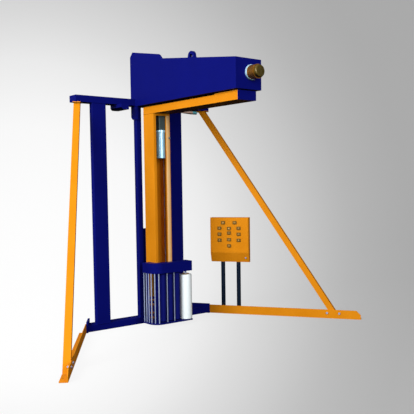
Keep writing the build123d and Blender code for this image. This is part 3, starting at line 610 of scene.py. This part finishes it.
def raised(bm, centre, outline):
    """A shape given by (across, up) points, sunk a little into the cap and narrowed a little at its top."""
    sink, rise, narrowed = 0.0003, 0.0012, 0.94
    base = [bm.verts.new(centre + along * a + up * b - out * sink) for a, b in outline]
    top = [bm.verts.new(centre + along * a * narrowed + up * b * narrowed + out * rise) for a, b in outline]
    bm.faces.new(top)
    for k in range(len(outline)):
        after = (k + 1) % len(outline)
        bm.faces.new((base[k], base[after], top[after], top[k]))


def plate(bm, centre, half_wide, half_high):
    raised(bm, centre, [(-half_wide, -half_high), (half_wide, -half_high), (half_wide, half_high),
                        (-half_wide, half_high)])


def arrow(bm, centre, size, way):
    tips = [(0, 1), (0.8, -0.1), (0.3, -0.1), (0.3, -0.9), (-0.3, -0.9), (-0.3, -0.1), (-0.8, -0.1)]
    raised(bm, centre, [(a * size, b * size * way) for a, b in tips])


def mark(bm, kind, face):
    if kind == "bar":
        plate(bm, face, 0.012, 0.003)
    elif kind == "bars":
        plate(bm, face + along * 0.006, 0.0025, 0.009)
        plate(bm, face - along * 0.006, 0.0025, 0.009)
    elif kind == "up":
        arrow(bm, face, 0.011, 1)
    elif kind == "down":
        arrow(bm, face, 0.011, -1)
    elif kind == "square":
        plate(bm, face, 0.009, 0.009)
    else:
        plate(bm, face + up * 0.005, 0.012, 0.002)
        plate(bm, face - up * 0.005, 0.012, 0.002)


kinds = ["square", "bar", "up", "down", "bars", "lines", "down", "up", "square", "bar", "lines", "bars"]
for number, kind in enumerate(kinds, start=1):
    name = f"button_{number:02d}"
    mid = Vector(centre_of(name))
    front = max(v.co.dot(out) for v in nodes[name].data.vertices)
    face = mid + out * (front - mid.dot(out))
    piece(f"{name}_mark", lambda bm, kind=kind, face=face: mark(bm, kind, face), legend, f"push_{number:02d}",
          smooth=False)
print("button marks:", len(kinds))

# %% [markdown]
# ## Floor, backdrop and light
# One pale sweep runs from under the machine up into the backdrop. A pool of light lies on its left half and falls off
# to a soft grey on the right. The pool isn't cast by a lamp: the sweep glows by itself, and its tone is worked out from
# the direction in which a point lies from one fixed place, the one where the camera stands. So the pool is fixed in
# the room, and round from that place only. The glow lights nothing but the sweep. A broad key light stands on the left,
# a weaker fill in front, and the sky fades from left to right.

# %% Stage
camera_at = Vector((-4.260, -5.523, 1.562))
heading, pitch, roll = 0.677, -0.065, -0.014
ahead = Vector((math.sin(heading), math.cos(heading), 0))
aside = Vector((math.cos(heading), -math.sin(heading), 0))
pool = (ahead - 0.27 * aside - Vector((0, 0, 0.095))).normalized()


def sweep(bm):
    """Floor, curve and wall as one sheet: the curve has a radius of 6 m and starts 9.4 m ahead."""
    curve_start, curve_r, curve_steps, wall_top = 9.4, 6.0, 12, 22.0
    profile = [(-14.0, 0.0)] + [(7.0 + 1.2 * k, 0.0) for k in range(3)]
    for k in range(1, curve_steps + 1):
        a = math.pi / 2 * k / curve_steps
        profile.append((curve_start + curve_r * math.sin(a), curve_r * (1 - math.cos(a))))
    profile.append((curve_start + curve_r, wall_top))
    rows = []
    for forward, height in profile:
        rows.append([bm.verts.new(ahead * forward + aside * side + Vector((0, 0, height - 0.0005)))
                     for side in (-26.0, -8.0, 0.0, 8.0, 26.0)])
    for low_row, high_row in zip(rows, rows[1:]):
        for k in range(4):
            bm.faces.new((low_row[k], low_row[k + 1], high_row[k + 1], high_row[k]))


stage_paint = bpy.data.materials.new("stage_paper")
stage_paint.use_nodes = True
tree = stage_paint.node_tree
shader = tree.nodes["Principled BSDF"]
where = add(tree, "ShaderNodeNewGeometry")
away = add(tree, "ShaderNodeVectorMath", operation="SUBTRACT")
tree.links.new(where.outputs["Position"], away.inputs[0])
away.inputs[1].default_value = camera_at
unit = add(tree, "ShaderNodeVectorMath", operation="NORMALIZE")
tree.links.new(away.outputs[0], unit.inputs[0])
close = add(tree, "ShaderNodeVectorMath", operation="DOT_PRODUCT")
tree.links.new(unit.outputs[0], close.inputs[0])
close.inputs[1].default_value = pool
apart = maths(tree, "ARCCOSINE", close.outputs["Value"])
ramp = add(tree, "ShaderNodeValToRGB")
ramp.color_ramp.interpolation = "B_SPLINE"
tones = [(0.0, 0.975), (0.18, 0.93), (0.27, 0.80), (0.33, 0.67), (0.40, 0.55), (0.47, 0.43), (0.56, 0.375),
         (1.0, 0.35)]
while len(ramp.color_ramp.elements) < len(tones):
    ramp.color_ramp.elements.new(0.5)
for element, (place, tone) in zip(ramp.color_ramp.elements, tones):
    element.position = place
    element.color = (tone, tone, tone, 1.0)
tree.links.new(apart, ramp.inputs[0])
fleck = add(tree, "ShaderNodeTexNoise")
fleck.inputs["Scale"].default_value = 240.0
tree.links.new(where.outputs["Position"], fleck.inputs["Vector"])
tree.links.new(mix(tree, maths(tree, "MULTIPLY", fleck.outputs["Fac"], 0.02), ramp.outputs["Color"], (0.6, 0.6, 0.6)),
               shader.inputs["Emission Color"])
shader.inputs["Base Color"].default_value = (0.035, 0.035, 0.035, 1.0)
shader.inputs["Emission Strength"].default_value = 1.0
shader.inputs["IOR"].default_value = 1.05
shader.inputs["Roughness"].default_value = 0.95
stage_mesh = bpy.data.meshes.new("backdrop_sweep")
bm = bmesh.new()
sweep(bm)
bm.to_mesh(stage_mesh)
bm.free()
stage_mesh.shade_smooth()
stage_mesh.materials.append(stage_paint)
stage = bpy.data.objects.new("backdrop_sweep", stage_mesh)
bpy.context.scene.collection.objects.link(stage)
own_glow = bpy.data.collections.new("stage_glow_only")
own_glow.objects.link(stage)
stage.light_linking.receiver_collection = own_glow
print("stage ready")

# %% Lights and sky
def area_light(name, at, towards, size, power):
    data = bpy.data.lights.new(name, "AREA")
    data.shape = "RECTANGLE"
    data.size, data.size_y = size
    data.energy = power
    light = bpy.data.objects.new(name, data)
    light.location = at
    light.rotation_euler = (Vector(towards) - Vector(at)).to_track_quat("-Z", "Y").to_euler()
    bpy.context.scene.collection.objects.link(light)


area_light("key_left", (-7.0, -1.5, 4.5), (0, -0.5, 1.4), (4.0, 4.5), 640)
area_light("fill_front", (-1.5, -8.0, 3.0), (0.3, 0, 1.3), (5.0, 4.0), 430)
world = bpy.data.worlds.new("soft_sky")
bpy.context.scene.world = world
world.use_nodes = True
tree = world.node_tree
sky = tree.nodes["Background"]
seen = add(tree, "ShaderNodeTexCoord")
side = add(tree, "ShaderNodeVectorMath", operation="DOT_PRODUCT")
tree.links.new(seen.outputs["Generated"], side.inputs[0])
side.inputs[1].default_value = -aside
level = add(tree, "ShaderNodeMapRange", interpolation_type="SMOOTHSTEP")
level.inputs["From Min"].default_value = -0.7
level.inputs["From Max"].default_value = 0.7
level.inputs["To Min"].default_value = 0.12
level.inputs["To Max"].default_value = 0.95
tree.links.new(side.outputs["Value"], level.inputs["Value"])
tree.links.new(level.outputs["Result"], sky.inputs["Strength"])
sky.inputs["Color"].default_value = (0.95, 0.97, 1.0, 1.0)

# %% [markdown]
# ## Camera
# The camera stands at the left in front of the machine, 1.56 m above the floor, and looks slightly down. The lens is
# shifted up a little, so the whole machine is in the frame and its uprights stay nearly parallel.

# %% Camera
lens_data = bpy.data.cameras.new("camera")
lens_data.sensor_width = 36.0
lens_data.lens = 58.2434783
lens_data.shift_y = 0.0521739
lens_data.clip_end = 200.0
camera = bpy.data.objects.new("camera", lens_data)
bpy.context.scene.collection.objects.link(camera)
forward = Vector((math.sin(heading) * math.cos(pitch), math.cos(heading) * math.cos(pitch), math.sin(pitch)))
right = Vector((math.cos(heading), -math.sin(heading), 0))
above = right.cross(forward)
right_rolled = math.cos(roll) * right + math.sin(roll) * above
above_rolled = -math.sin(roll) * right + math.cos(roll) * above
turn = Matrix((right_rolled, above_rolled, -forward)).transposed().to_4x4()
camera.matrix_world = Matrix.Translation(camera_at) @ turn
bpy.context.scene.camera = camera
bpy.context.scene.view_settings.view_transform = "Standard"
bpy.context.scene.view_settings.look = "None"
print("camera at", [round(t, 3) for t in camera_at])
